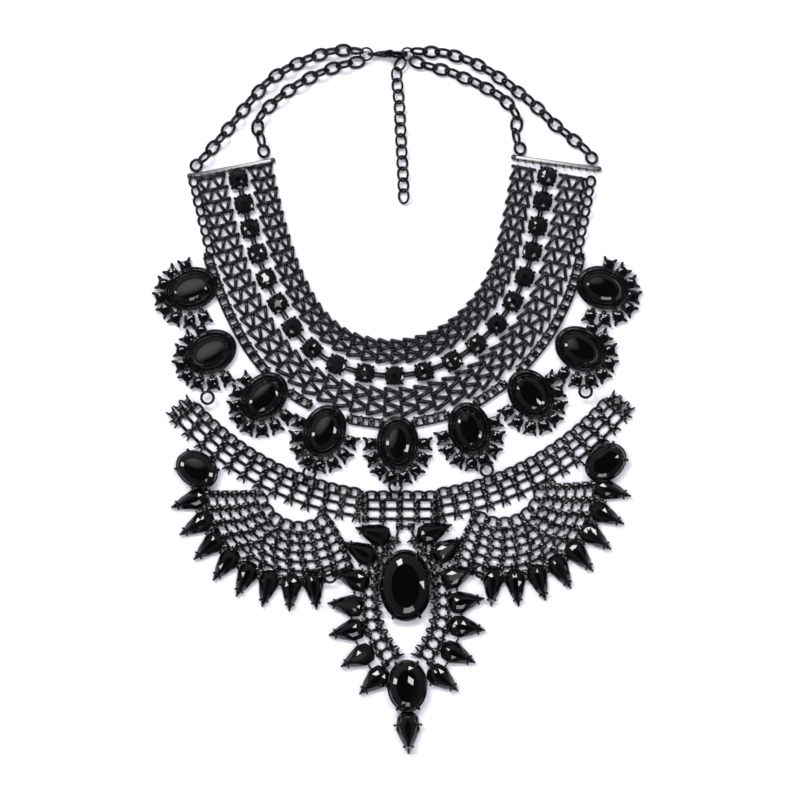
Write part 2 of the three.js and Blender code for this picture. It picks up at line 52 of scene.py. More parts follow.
# Middle of the stone channel, from the left end bar round the throat to the right one.
CHANNEL = [
    # x, y
    (-71.6, 104.2),
    (-68.4, 90),
    (-63.6, 71),
    (-55.6, 49),
    (-43.5, 28.8),
    (-26.5, 15.6),
    (0.8, 10.5),
    (26.5, 17.6),
    (46.3, 34.2),
    (57.8, 53.5),
    (63.8, 76),
    (68.9, 103.5),
]
COLLAR_STONES = 21
FIRST_STONE = 5.6
LAST_STONE = 3.4
STONE_BUNCHING = 3.5

BARS = {
    # left end, right end
    "left": (-92.7, 100.2, -54.6, 107.4),
    "right": (53.0, 108.8, 92.1, 103.4),
}

CHAINS = {
    # Rows of x, y
    "chain_left_outer": [
        (-91.3, 103.2),
        (-85.1, 109.3),
        (-79.2, 116.3),
        (-71.1, 126.2),
        (-63.9, 135.2),
        (-55.4, 144),
        (-45.5, 150),
        (-33.3, 155),
        (-24.8, 156.8),
        (-15.2, 156.2),
    ],
    "chain_left_inner": [
        (-58.6, 108.7),
        (-60, 116.1),
        (-61.8, 121.4),
        (-60.4, 127),
        (-56.2, 131.8),
        (-50.6, 136.6),
        (-42.4, 142.2),
        (-31.6, 147.4),
        (-23.4, 150.2),
        (-14.6, 151.9),
    ],
    "chain_right_outer": [
        (90, 106.2),
        (85.6, 112),
        (78.6, 117.9),
        (71, 124.1),
        (63.7, 131.2),
        (55.9, 137.6),
        (46.1, 145),
        (34.9, 151.4),
        (22.4, 155.4),
        (8.0, 156.4),
    ],
    "chain_right_inner": [
        (57.2, 110),
        (54.4, 118.4),
        (54.6, 127),
        (50, 133.6),
        (42.5, 138.9),
        (32.4, 143.8),
        (23, 147.5),
        (15.4, 149.5),
        (7.4, 152.2),
    ],
}
EXTENSION = [
    (3.6, 152.6),
    (0.9, 147.4),
    (1.1, 141),
    (1.8, 134),
    (2.7, 116.6),
    (3.6, 100),
    (4, 88.7),
]

MEDALLIONS = [
    # x, y, lean: the long axis, in degrees from +X
    (-91.4, 49.5, 20),
    (-82.8, 21.2, 28),
    (-58.8, 1.1, 48),
    (-31.7, -14.4, 69),
    (1.2, -19.8, 90),
    (33.5, -13.3, 106),
    (61, 2.3, 127),
    (83.3, 22.5, 148),
    (93.3, 50, 160),
]

BAND_X = 1.6
BAND_Y = 80.6

FANS = {
    # x, y, side, turn, oval: x, y, lean
    "left": (-42.75, -39.6, -1, 0.0, (-89.0, -31.6, -33)),
    "right": (47.7, -37.8, 1, 3.2, (94.7, -28.5, 38)),
}

PENDANT_X = 4.7
PENDANT_Y = -83.7
PENDANT_TURN = 1.8
KITES = [
    # half, up, lean of the left one
    (21.5, 26.5, 160),
    (26.9, 20.2, 148),
    (31.6, 6.7, 159),
    (35, -7, 172),
    (34.9, -21.3, 190),
    (30, -35.6, 206),
    (22, -48.1, 220),
]

HANGERS = [
    # x, y
    (-84.2, 0.6),
    (-38.4, -33.2),
    (0.2, -39.3),
    (41.2, -31.9),
    (85.6, 3.4),
    (-29.2, -79.6),
    (38.8, -77.4),
]

# ---- Mesh building -------------------------------------------------------------------


def unit(rows):
    rows = np.asarray(rows, float)
    return rows / np.maximum(np.linalg.norm(rows, axis=-1, keepdims=True), 1e-9)


def spun(points, degrees):
    """Points turned about the Z axis."""
    turn = math.radians(degrees)
    c, s = math.cos(turn), math.sin(turn)
    points = np.asarray(points, float)
    spin = np.array([[c, s, 0], [-s, c, 0], [0, 0, 1]])
    return points @ spin


# A wire's eased end: how far it reaches and how thin it gets, as shares of the radius.
END_REACH = 0.6
END_RADIUS = 0.5
# The rings of a rounded table, as shares of its size.
DOME_STEPS = (1.0, 0.84, 0.66, 0.46, 0.24, 0.06)


def side_faces(count, size, closed=False):
    """The faces between loops of the same size, one after the other."""
    faces = []
    for k in range(count if closed else count - 1):
        a, b = k * size, (k + 1) % count * size
        for i in range(size):
            j = (i + 1) % size
            faces.append((a + i, a + j, b + j, b + i))
    return faces


def cap(count, size):
    """The face that closes the last of the loops."""
    return tuple(range((count - 1) * size, count * size))


class Pile:
    """Points and faces of many small bodies, gathered into one mesh."""

    def __init__(self):
        self.points = []
        self.faces = []
        self.smooth = []
        self.total = 0

    def add(self, points, faces, smooth=True):
        self.points.append(np.asarray(points, float))
        self.faces += [tuple(i + self.total for i in face) for face in faces]
        self.smooth += [smooth] * len(faces)
        self.total += len(points)

    def stamp(self, other, x, y, degrees=0.0, z=0.0, scale=1.0):
        """Another pile, copied to a place and a turn."""
        points = spun(np.concatenate(other.points) * scale, degrees) + (x, y, z)
        self.points.append(points)
        self.faces += [tuple(i + self.total for i in face) for face in other.faces]
        self.smooth += other.smooth
        self.total += len(points)

    def skin(self, loops, smooth=True, closed=False):
        """A skin over loops of points, one after the other."""
        count, size = len(loops), len(loops[0])
        faces = side_faces(count, size, closed)
        if not closed:
            faces += [tuple(reversed(range(size))), cap(count, size)]
        self.add(np.concatenate(loops), faces, smooth)

    def wire(self, path, radius, closed=False, sides=6, flat=1.0, normal=None):
        """A round wire along a path. flat stretches it at right angles to its path's plane."""
        path = np.asarray(path, float)
        radii = np.broadcast_to(np.asarray(radius, float), len(path)).copy()
        if not closed:
            ends = unit(path[[0, -1]] - path[[1, -2]])
            first = path[0] + ends[0] * radii[0] * END_REACH
            last = path[-1] + ends[1] * radii[-1] * END_REACH
            path = np.vstack([first, path, last])
            radii = np.concatenate([[radii[0] * END_RADIUS], radii, [radii[-1] * END_RADIUS]])
            ahead = np.gradient(path, axis=0)
        else:
            ahead = np.roll(path, -1, 0) - np.roll(path, 1, 0)
        along = unit(ahead)
        if normal is None:
            normal = np.cross(along[:-1], along[1:]).sum(0)
            if np.linalg.norm(normal) < 1e-3:
                normal = UP if abs(along[0][2]) < 0.9 else np.array([1.0, 0, 0])
        side = unit(np.cross(normal, along))
        over = np.cross(along, side)
        turns = np.arange(sides) * 2 * math.pi / sides
        loops = [
            p + r * (np.outer(np.cos(turns), s) + flat * np.outer(np.sin(turns), o))
            for p, r, s, o in zip(path, radii, side, over)
        ]
        self.skin(loops, closed=closed)

    def bead(self, centre, radius, sides=7, rows=5):
        """A small ball, with a small flat at the top and the bottom."""
        loops = []
        for k in range(rows + 1):
            lift = math.pi * (k / rows - 0.5) * 0.92
            wide = math.cos(lift)
            ring = lifted(oval(wide, wide, sides), math.sin(lift))
            loops.append(np.asarray(centre) + ring * radius)
        self.skin(loops)

    def cut_stone(
        self,
        outline,
        back,
        girdle,
        top,
        table=(0.6, 0.6),
        focus=(0, 0),
        tilt=(0, 0),
        dome=0.0,
        steps=False,
    ):
        """A faceted stone over an outline of x, y rows: pavilion, girdle, crown and table.

        Its crown has triangles, or plain steps. A dome rounds its table.
        """
        outline = np.asarray(outline, float)
        middles = outline if steps else (outline + np.roll(outline, -1, 0)) / 2
        count = len(outline)
        rise = top - girdle

        def level(rows, inward, z, lean=0.0):
            share = 1 - (1 - np.asarray(table, float)) * inward
            flat = np.asarray(focus, float) + (rows - focus) * share
            slope = (rows - focus) @ np.asarray(tilt, float)
            return np.column_stack([flat, z + lean * slope])

        loops = [
            level(outline, 0.6, back),
            level(outline, 0.0, girdle - 0.25),
            level(outline, 0.0, girdle + 0.1),
            level(middles, 0.2, girdle + rise * 0.4, 0.5),
            level(outline, 0.55, girdle + rise * 0.75, 0.8),
            level(middles, 1.0, top, 1.0),
        ]
        faces = [tuple(reversed(range(count)))]
        for k in range(len(loops) - 1):
            a, b = k * count, (k + 1) * count
            for i in range(count):
                j = (i + 1) % count
                if k < 2 or steps:
                    faces.append((a + i, a + j, b + j, b + i))
                elif k == 3:
                    faces.append((a + i, a + j, b + j))
                    faces.append((b + i, a + i, b + j))
                else:
                    faces.append((a + i, a + j, b + i))
                    faces.append((b + i, a + j, b + j))
        if not dome:
            faces.append(cap(len(loops), count))
        self.add(np.concatenate(loops), faces, smooth=False)
        if dome:
            rim = loops[-1]
            middle = rim.mean(0)
            rings = [
                middle + (rim - middle) * share + UP * dome * (1 - share**2)
                for share in DOME_STEPS
            ]
            faces = side_faces(len(rings), count) + [cap(len(rings), count)]
            self.add(np.concatenate(rings), faces)


def oval(long, short, count=24, phase=0.0):
    turns = (np.arange(count) + phase) * 2 * math.pi / count
    return np.column_stack([long * np.cos(turns), short * np.sin(turns)])


def lifted(rows, z):
    rows = np.asarray(rows, float)
    return np.column_stack([rows, np.full(len(rows), z)])


def polar(x, y, radius, degrees):
    turn = math.radians(degrees)
    return np.array([x + radius * math.cos(turn), y + radius * math.sin(turn)])


class Route:
    """A smooth curve through rows of x, y, by distance along it."""

    def __init__(self, rows, offset=0.0):
        rows = np.asarray(rows, float)
        ends = [2 * rows[0] - rows[1], 2 * rows[-1] - rows[-2]]
        knots = np.vstack([ends[0], rows, ends[1]])
        points = [self.span(knots[i : i + 4]) for i in range(len(rows) - 1)]
        path = np.vstack(points + [rows[-1:]])
        along = unit(np.gradient(path, axis=0))
        self.path = path + offset * np.column_stack([-along[:, 1], along[:, 0]])
        steps = np.linalg.norm(np.diff(self.path, axis=0), axis=1)
        self.marks = np.concatenate([[0], np.cumsum(steps)])
        self.length = self.marks[-1]

    @staticmethod
    def span(knots, steps=24):
        """The centripetal Catmull-Rom stretch between the middle two of four knots."""
        gaps = np.sqrt(np.linalg.norm(np.diff(knots, axis=0), axis=1))
        t0, t1, t2, t3 = np.concatenate([[0], np.cumsum(gaps)])
        t = np.linspace(t1, t2, steps, endpoint=False)[:, None]
        a, b, c, d = knots
        ab = ((t1 - t) * a + (t - t0) * b) / (t1 - t0)
        bc = ((t2 - t) * b + (t - t1) * c) / (t2 - t1)
        cd = ((t3 - t) * c + (t - t2) * d) / (t3 - t2)
        abc = ((t2 - t) * ab + (t - t0) * bc) / (t2 - t0)
        bcd = ((t3 - t) * bc + (t - t1) * cd) / (t3 - t1)
        return ((t2 - t) * abc + (t - t1) * bcd) / (t2 - t1)

    def at(self, distance):
        return np.array([np.interp(distance, self.marks, self.path[:, i]) for i in (0, 1)])

    def heading(self, distance):
        """Degrees from +X of the way along."""
        step = self.at(distance + 0.4) - self.at(distance - 0.4)
        return math.degrees(math.atan2(step[1], step[0]))


# ---- Materials -----------------------------------------------------------------------


def shiny(name, color, roughness, specular=0.5, bump=0.0, scale=400.0):
    material = bpy.data.materials.new(name)
    material.use_nodes = True
    nodes, links = material.node_tree.nodes, material.node_tree.links
    shader = nodes["Principled BSDF"]
    shader.inputs["Base Color"].default_value = (*color, 1)
    shader.inputs["Roughness"].default_value = roughness
    shader.inputs["Specular IOR Level"].default_value = specular
    if bump:
        noise = nodes.new("ShaderNodeTexNoise")
        noise.inputs["Scale"].default_value = scale
        noise.inputs["Detail"].default_value = 2
        relief = nodes.new("ShaderNodeBump")
        relief.inputs["Strength"].default_value = bump
        relief.inputs["Distance"].default_value = 0.0001
        coords = nodes.new("ShaderNodeTexCoord")
        links.new(coords.outputs["Object"], noise.inputs["Vector"])
        links.new(noise.outputs["Fac"], relief.inputs["Height"])
        links.new(relief.outputs["Normal"], shader.inputs["Normal"])
    return material


METAL = shiny("black_plating", (0.0018, 0.0018, 0.0026), 0.13, 0.22, bump=0.12)
POLISHED = shiny("polished_plating", (0.002, 0.002, 0.0028), 0.1, 0.75)
LINK = shiny("black_link", (0.003, 0.0034, 0.0068), 0.14, 0.26, bump=0.2)
GLASS = shiny("jet_glass", (0.0012, 0.0012, 0.0016), 0.02, 0.45)


def make(name, pile, material, replaces=(), body="necklace"):
    """One piece made of a pile, riding on a body of the solids."""
    mesh = bpy.data.meshes.new(name)
    points = np.concatenate(pile.points) * MM
    mesh.from_pydata(points.tolist(), [], pile.faces)
    mesh.polygons.foreach_set("use_smooth", pile.smooth)
    mesh.materials.append(material)
    mesh.update()
    piece = bpy.data.objects.new(name, mesh)
    bpy.context.scene.collection.objects.link(piece)
    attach(piece, body)
    if replaces:
        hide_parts(*replaces)
    return piece


# ---- Small cups ----------------------------------------------------------------------


CORNERS = (45, 135, 225, 315)


def octagon(radius, z):
    return lifted(oval(radius, radius, 8, 0.5), z)


def cup(radius, height, spikes=0.0):
    """A small stone's eight-sided cup, with a claw at each corner and spikes on its outer side."""
    pile = Pile()
    profile = [
        # share of the radius, z
        (0.8, 0),
        (1.0, height * 0.3),
        (1.02, height),
        (0.84, height + 0.1),
        (0.78, height * 0.7),
    ]
    pile.skin([octagon(radius * share, z) for share, z in profile], smooth=False)
    for turn in CORNERS:
        foot = polar(0, 0, radius * 1.06, turn)
        tip = polar(0, 0, radius * 0.78, turn)
        claw = [(*foot, height * 0.3), (*foot, height + 0.25), (*tip, height + 0.6)]
        pile.wire(claw, radius * 0.2, sides=5)
    if spikes:
        for side in (-1, 1):
            foot = (radius * 0.8, radius * 0.72 * side)
            tip = (radius + spikes, radius * 1.02 * side)
            spike = [(*foot, height * 0.75), (*tip, height * 0.9)]
            pile.wire(spike, [radius * 0.34, radius * 0.2])
    return pile


def cup_stone(radius, height):
    """The faceted dome of a small cup."""
    pile = Pile()
    outline = oval(radius * 0.86, radius * 0.86, 8, 0.5)
    pile.cut_stone(outline, height * 0.6, height * 0.95, height + 0.6, table=(0.4, 0.4))
    return pile


class Setting:
    """Metal and stones that are gathered side by side."""

    def __init__(self):
        self.metal = Pile()
        self.stones = Pile()

    def cups(self, kind, place, degrees=0.0, z=0.0, scale=1.0):
        metal, stone = kind
        self.metal.stamp(metal, *place, degrees, z, scale)
        self.stones.stamp(stone, *place, degrees, z, scale)

    def strut(self, a, b, z, radius=0.45):
        """A rail from a to b, with its middle at height z, that reaches almost to the ground."""
        self.metal.wire([(*a, z), (*b, z)], radius, flat=z / radius)

    def arch(self, a, b, bulge, z, radius=0.55):
        """A bowed wire from a to b. A positive bulge bows it to the left of the way."""
        a, b = np.asarray(a), np.asarray(b)
        way = b - a
        left = unit(np.array([-way[1], way[0]]))
        bow = left * bulge * 4
        path = [(*(a + way * t + bow * t * (1 - t)), z) for t in np.linspace(0, 1, 7)]
        self.metal.wire(path, radius, flat=z / radius, normal=UP)


ROUND_CUP = (cup(1.75, 1.9), cup_stone(1.75, 1.9))
SPIKED_CUP = (cup(1.75, 1.9, spikes=1.3), cup_stone(1.75, 1.9))
MEDALLION_CUP = (cup(2.7, 2.3, spikes=0.7), cup_stone(2.6, 2.3))

# ---- Collar --------------------------------------------------------------------------

channel = Route(CHANNEL)


LINK_BAR = 0.74
LINK_HEIGHT = 1.1


def mesh_band(name, near, far, ends_pitch, middle_pitch):
    """Rows of cast links: a bar across the band, and two hooks that hold the next bar."""
    middle = Route(CHANNEL, (near + far) / 2)
    half = abs(far - near) / 2
    start, finish = 1.9, middle.length - 1.6
    rows = round((finish - start) / ((ends_pitch + middle_pitch) / 2))
    share = (np.arange(rows) + 0.5) / rows
    pitches = ends_pitch + (middle_pitch - ends_pitch) * np.sin(math.pi * share) ** 2
    pitches *= (finish - start) / pitches.sum()
    marks = start + np.concatenate([[0], np.cumsum(pitches)])
    pile = Pile()
    for k, mark in enumerate(marks):
        x, y = middle.at(mark)
        heading = middle.heading(mark)
        row = Pile()
        bar = [(0, across, LINK_HEIGHT) for across in (-half + 0.2, 0, half - 0.2)]
        row.wire(bar, LINK_BAR, flat=1.5)
        if k < len(pitches):
            reach = pitches[k]
            lean = middle.heading(mark + reach) - heading
            wire = 0.78 + 0.2 * (reach - ends_pitch) / (middle_pitch - ends_pitch)
            for side in (-1, 1):
                mid = side * half / 2
                wide = half / 2 - 0.5
                hook = [
                    (0.1, mid - wide, 1.15),
                    (reach * 0.5, mid - wide * 0.58, 1.35),
                    (reach - 0.3, mid - wide * 0.16, 1.75),
                    (reach + 0.4, mid, 1.65),
                    (reach - 0.3, mid + wide * 0.16, 1.75),
                    (reach * 0.5, mid + wide * 0.58, 1.35),
                    (0.1, mid + wide, 1.15),
                ]
                row.wire(spun(hook, lean / 2), wire, flat=1.35, normal=UP)
        pile.stamp(row, x, y, heading)
    make(name, pile, LINK, replaces=[name])


def stone_mark(index):
    pitch = (channel.length - FIRST_STONE - LAST_STONE) / (COLLAR_STONES - 1)
    crowding = STONE_BUNCHING * math.sin(2 * math.pi * index / (COLLAR_STONES - 1))
    return FIRST_STONE + pitch * index - crowding


SEAT_PROFILE = [
    # radius, z
    (3.9, 0.0),
    (4.6, 1.4),
    (4.7, 2.4),
    (4.1, 2.6),
    (3.9, 1.8),
]
# The most that a collar cup turns off the row, in degrees, and the most that its stone slopes.
SEAT_SWAY = 6
STONE_SLOPE = 0.12


def collar_stones():
    """Round stones in cups with four prongs, joined by pairs of short wires."""
    row = Setting()
    seat = Pile()
    seat.skin([octagon(radius, z) for radius, z in SEAT_PROFILE], smooth=False)
    for turn in CORNERS:
        foot = polar(0, 0, 4.75, turn)
        tip = polar(0, 0, 3.1, turn)
        seat.wire([(*foot, 0.6), (*foot, 2.6), (*tip, 3.9)], [0.75, 0.75, 0.45])
    random.seed(SEED)
    for k in range(COLLAR_STONES):
        mark = stone_mark(k)
        x, y = channel.at(mark)
        heading = channel.heading(mark) + random.uniform(-SEAT_SWAY, SEAT_SWAY)
        row.metal.stamp(seat, x, y, heading)
        tilt = [random.uniform(-STONE_SLOPE, STONE_SLOPE) for _ in range(2)]
        stone = Pile()
        stone.cut_stone(oval(4.25, 4.25, 9), 1.2, 2.5, 4.5, table=(0.34, 0.34), tilt=tilt)
        row.stones.stamp(stone, x, y, heading + random.uniform(0, 36))
        if k + 1 < COLLAR_STONES:
            following = stone_mark(k + 1)
            for side in (-0.75, 0.75):
                bridge = Route(CHANNEL, side)
                ratio = bridge.length / channel.length
                a = bridge.at((mark + 3.8) * ratio)
                b = bridge.at((following - 3.8) * ratio)
                row.strut(a, b, 1.1, 0.5)
    make("collar_cups", row.metal, METAL)
    make("collar_gems", row.stones, GLASS, replaces=["collar_stones"])


def ring_path(long, short, count):
    return lifted(oval(long, short, count), 0.0)


def tilted(points, degrees):
    """Points turned about the X axis."""
    turn = math.radians(degrees)
    c, s = math.cos(turn), math.sin(turn)
    return np.asarray(points) @ np.array([[1, 0, 0], [0, c, s], [0, -s, c]])


def link_chain(name, rows, pitch, wire, half_width, tilts, jitter=6.0, round_first=False):
    """Oval links, each through the next, lying along a route."""
    route = Route(rows)
    count = round(route.length / pitch)
    step = route.length / count
    pile = Pile()
    random.seed(SEED + len(name))
    for k in range(count):
        tilt = tilts[k % len(tilts)] + random.uniform(-jitter, jitter)
        link = Pile()
        half_length = step / 2 + wire + 0.1
        if round_first and k == 0:
            half_length = half_width * 1.1
        loop = tilted(ring_path(half_length, half_width, 18), tilt)
        link.wire(loop, wire, closed=True, sides=7)
        mark = (k + 0.5) * step
        rest = wire + half_width * abs(math.sin(math.radians(tilt)))
        heading = route.heading(mark) + random.uniform(-jitter, jitter) / 2
        pile.stamp(link, *route.at(mark), heading, rest)
    make(name, pile, METAL, replaces=[name])


EDGE_RINGS = 8
EDGE_PITCH = 4.55
EDGE_RING_LIES = [
    # tilt, z: one ring, then the next
    (18, 1.3),
    (-38, 1.9),
]


def edge_chain(name, from_end):
    """The chain of rings beside the collar's free edge."""
    route = Route(CHANNEL, -19.9)
    pile = Pile()
    for k in range(EDGE_RINGS):
        mark = 2.2 + EDGE_PITCH * k
        place = route.length - mark if from_end else mark
        tilt, z = EDGE_RING_LIES[k % 2]
        ring = Pile()
        ring.wire(tilted(ring_path(2.35, 2.0, 16), tilt), 0.6, closed=True, sides=8)
        pile.stamp(ring, *route.at(place), route.heading(place), z)
    make(name, pile, METAL, replaces=[name])


def inside_medallion(x, y, margin):
    """Whether a place is within a margin of a medallion's ring."""
    for mx, my, lean in MEDALLIONS:
        u, v = spun([(x - mx, y - my, 0)], -lean)[0][:2]
        if (u / (12.1 + margin)) ** 2 + (v / (9.6 + margin)) ** 2 < 1:
            return True
    return False


EDGE_CUP_OFFSET = -21.7
EDGE_CUPS_FROM = 36
EDGE_CUP_PITCH = 4.9


def edge_cups():
    """The chain of small cups along the collar's outer edge, seen between the medallions."""
    route = Route(CHANNEL, EDGE_CUP_OFFSET)
    row = Setting()
    count = round((route.length - 2 * EDGE_CUPS_FROM) / EDGE_CUP_PITCH)
    marks = np.linspace(EDGE_CUPS_FROM, route.length - EDGE_CUPS_FROM, count + 1)
    clear = [not inside_medallion(*route.at(mark), -0.6) for mark in marks]
    rails = [Route(CHANNEL, EDGE_CUP_OFFSET + side) for side in (-1.8, 1.8)]
    for k, mark in enumerate(marks):
        if not clear[k]:
            continue
        x, y = route.at(mark)
        heading = route.heading(mark)
        row.cups(ROUND_CUP, (x, y), heading, scale=0.98)
        tie = spun([(0, 2.5, 0)], heading)[0][:2]
        row.strut((x, y), (x, y) + tie, 0.7, 0.5)
        if k < count and clear[k + 1]:
            for rail in rails:
                share = rail.length / route.length
                row.strut(rail.at(mark * share), rail.at(marks[k + 1] * share), 1.0, 0.5)
    make("collar_edge_cups", row.metal, METAL)
    make("collar_edge_chatons", row.stones, GLASS)


# Corners of the end bar's rod, in degrees round its axis. Its widest flat faces up and
# towards the chains.
ROD_CORNERS = (48, 102, 130, 160, 190, 230, 270, 310, 350, 20)
ROD_HOOKS = 11


def end_bar(side, ends):
    """A rod with a collar at each end, and small hooks where the rows hang."""
    x0, y0, x1, y1 = ends
    a, b = np.array([x0, y0]), np.array([x1, y1])
    way = unit(b - a)
    pile = Pile()
    turns = np.radians(ROD_CORNERS)
    across = np.array([-way[1], way[0]])
    rise = 1 + np.sin(turns)
    rod = [np.column_stack([p + np.outer(np.cos(turns), across), rise]) for p in (b, a)]
    pile.skin(rod, smooth=False)
    for share in (0.012, 0.988):
        c = a + (b - a) * share
        pile.wire([(*(c - way * 0.5), 1.05), (*(c + way * 0.5), 1.05)], 1.25, sides=12)
    hook = Pile()
    hook.wire(spun(tilted(ring_path(0.6, 1.15, 12), 90), 90), 0.38, closed=True, sides=5)
    heading = math.degrees(math.atan2(way[1], way[0]))
    drop = np.array([way[1], -way[0]]) * 1.1
    for k in range(ROD_HOOKS):
        c = a + (b - a) * (0.06 + 0.088 * k)
        pile.stamp(hook, *(c + drop), heading, 1.6)
    make(f"bar_{side}", pile, POLISHED, replaces=[f"bar_{side}"])


mesh_band("mesh_inner", 5.3, 16.4, 5.5, 6.2)
mesh_band("mesh_outer", -18.4, -5.3, 5.5, 7.2)
collar_stones()
edge_chain("edge_chain_left", False)
edge_chain("edge_chain_right", True)
edge_cups()
for bar_side, bar_ends in BARS.items():
    end_bar(bar_side, bar_ends)
for chain_name, chain_rows in CHAINS.items():
    link_chain(chain_name, chain_rows, 5.4, 0.68, 2.4, (12, -58), round_first=True)
link_chain("extension_chain", EXTENSION, 5.1, 0.56, 2.35, (22, -24), jitter=3.0)

# ---- Medallions ----------------------------------------------------------------------


BEZEL_SIDES = 40
BEZEL_PROFILE = [
    # half length, half width, z
    (10.4, 8.0, 0.0),
    (11.9, 9.4, 0.5),
    (12.1, 9.6, 1.6),
    (11.6, 9.1, 2.5),
    (10.9, 8.5, 2.6),
    (10.1, 7.8, 2.9),
    (9.7, 7.3, 3.6),
    (9.35, 6.95, 4.6),
    (9.0, 6.6, 4.4),
    (8.6, 6.2, 1.8),
]
MILGRAIN_BEADS = 37
WREATH_CUPS = 8
WREATH_PITCH = 27.5
STONE_LEANS = [
    # slope of each medallion's stone along x, along y
    (0.05, -0.035),
    (0.035, -0.05),
    (0.01, 0.02),
    (0.03, 0.0),
    (-0.01, -0.02),
    (0.02, 0.03),
    (-0.03, 0.01),
    (0.0, -0.03),
    (0.02, 0.02),
]


def medallion(number, x, y, lean):
    """An oval stone in a bezel, a beaded ring, a plain ring, and a wreath of small cups."""
    setting = Setting()
    metal = setting.metal
    metal.skin([lifted(oval(*row[:2], BEZEL_SIDES), row[2]) for row in BEZEL_PROFILE])
    metal.wire(lifted(oval(9.15, 6.75, BEZEL_SIDES), 4.6), 0.32, closed=True)
    metal.wire(lifted(oval(11.55, 9.1, BEZEL_SIDES), 2.4), 0.5, closed=True)
    for place in oval(10.4, 8.0, MILGRAIN_BEADS):
        metal.bead((*place, 3.2), 0.62)
    shift = spun([(0, -1.8, 0)], -lean)[0][:2]
    for k in range(WREATH_CUPS):
        turn = math.radians(180 + (k - (WREATH_CUPS - 1) / 2) * WREATH_PITCH)
        place = shift + (13.9 * math.cos(turn), 12.1 * math.sin(turn))
        out = math.degrees(math.atan2(place[1] * 1.3, place[0]))
        setting.cups(MEDALLION_CUP, place, out)
        setting.strut(place * 0.76, place * 0.95, 1.2, 1.15)
    whole = Setting()
    whole.metal.stamp(metal, x, y, lean)
    whole.stones.stamp(setting.stones, x, y, lean)
    big = Pile()
    tilt = spun([(*STONE_LEANS[number - 1], 0)], -lean)[0][:2]
    outline = oval(9.0, 6.6, 28, 0.5)
    big.cut_stone(outline, 1.9, 4.4, 6.7, table=(0.74, 0.6), tilt=tilt, dome=0.3, steps=True)
    gem = Pile()
    gem.stamp(big, x, y, lean)
    setting_node = f"medallion_setting_{number}"
    make(f"medallion_{number}_setting", whole.metal, METAL, replaces=[setting_node])
    make(f"medallion_{number}_chatons", whole.stones, GLASS)
    make(f"medallion_{number}_gem", gem, GLASS, replaces=[f"medallion_stone_{number}"])


for medallion_number, medallion_row in enumerate(MEDALLIONS, 1):
    medallion(medallion_number, *medallion_row)

# ---- Lower band ----------------------------------------------------------------------


def band_point(radius, degrees):
    return polar(BAND_X, BAND_Y, radius, degrees)


def arc_wire(pile, radius, from_degrees, to_degrees, z, wire):
    count = max(4, round(abs(to_degrees - from_degrees) * 1.2))
    turns = np.linspace(from_degrees, to_degrees, count)
    pile.wire([(*band_point(radius, turn), z) for turn in turns], wire, flat=z / wire, normal=UP)


# Radii and pitches of the lower band's rows, and the height of a rail's middle.
TOP_CUPS = 124.2
TOP_ARCHES = 122.9
TOP_RAIL = 126.3
TOP_PITCH = 5.15
COLUMN_LINES = (127.2, 130.1, 134.5)
COLUMN_PITCH = 7.3
END_CUPS = (125.4, 129.6, 133.9)
RAIL_Z = 0.8


def lower_band(name, from_degrees, to_degrees, side):
    """A row of cups under small arches, and below it columns of cups joined by rails."""
    band = Setting()
    sweep = to_degrees - from_degrees
    count = round(math.radians(sweep) * TOP_CUPS / TOP_PITCH)
    for k in range(count + 1):
        turn = from_degrees + sweep * k / count
        band.cups(ROUND_CUP, band_point(TOP_CUPS, turn), turn, scale=0.9)
        if k < count:
            after = from_degrees + sweep * (k + 1) / count
            ends = (band_point(TOP_ARCHES, turn), band_point(TOP_ARCHES, after))
            band.arch(*ends, 0.75, 1.15, 0.55)
    arc_wire(band.metal, TOP_RAIL, from_degrees, to_degrees, 1.0, 0.7)
    columns = round(math.radians(sweep) * 130 / COLUMN_PITCH)
    upper, _, lower = COLUMN_LINES
    for k in range(columns + 1):
        turn = from_degrees + sweep * k / columns
        for radius in COLUMN_LINES:
            kind = SPIKED_CUP if radius == lower else ROUND_CUP
            band.cups(kind, band_point(radius, turn), turn)
        band.strut(band_point(upper, turn), band_point(lower, turn), RAIL_Z, 0.9)
        if k < columns:
            after = from_degrees + sweep * (k + 1) / columns
            for radius in COLUMN_LINES[1:]:
                band.strut(band_point(radius, turn), band_point(radius, after), RAIL_Z, 0.75)
    free = from_degrees if side < 0 else to_degrees
    for radius in END_CUPS:
        band.cups(SPIKED_CUP, band_point(radius, free + side * 1.3), free + 90 * side)
    make(f"{name}_cups", band.metal, METAL, replaces=[name])
    make(f"{name}_chatons", band.stones, GLASS)


lower_band("lower_band_left", 222.2, 262.0, -1)
lower_band("lower_band_right", 278.2, 319.0, 1)


def centre_block():
    """The block of cups in the middle of the lower band."""
    block = Setting()
    wide, pitch, left = 31.5, 7.7, -13.3
    arches = [left + 5.3 * k for k in range(7)]
    for k, x in enumerate(arches):
        block.cups(ROUND_CUP, (x, -43.4), 0, scale=0.88)
        if k + 1 < len(arches):
            block.arch((x, -42.3), (arches[k + 1], -42.3), 0.8, 1.15, 0.55)
    block.strut((left, -45.4), (left + wide, -45.4), 1.0, 0.7)
    for k in range(5):
        x = left + pitch * k
        for y in (-46.6, -49.5, -53.9):
            block.cups(ROUND_CUP, (x, y), 0)
        block.strut((x, -46.6), (x, -53.9), RAIL_Z, 0.9)
    for y in (-49.5, -53.9):
        block.strut((left, y), (left + 4 * pitch, y), RAIL_Z, 0.75)
    make("lower_band_centre_cups", block.metal, METAL, replaces=["lower_band_centre"])
    make("lower_band_centre_chatons", block.stones, GLASS)


centre_block()

# ---- Pointed stones ------------------------------------------------------------------

random.seed(SEED)


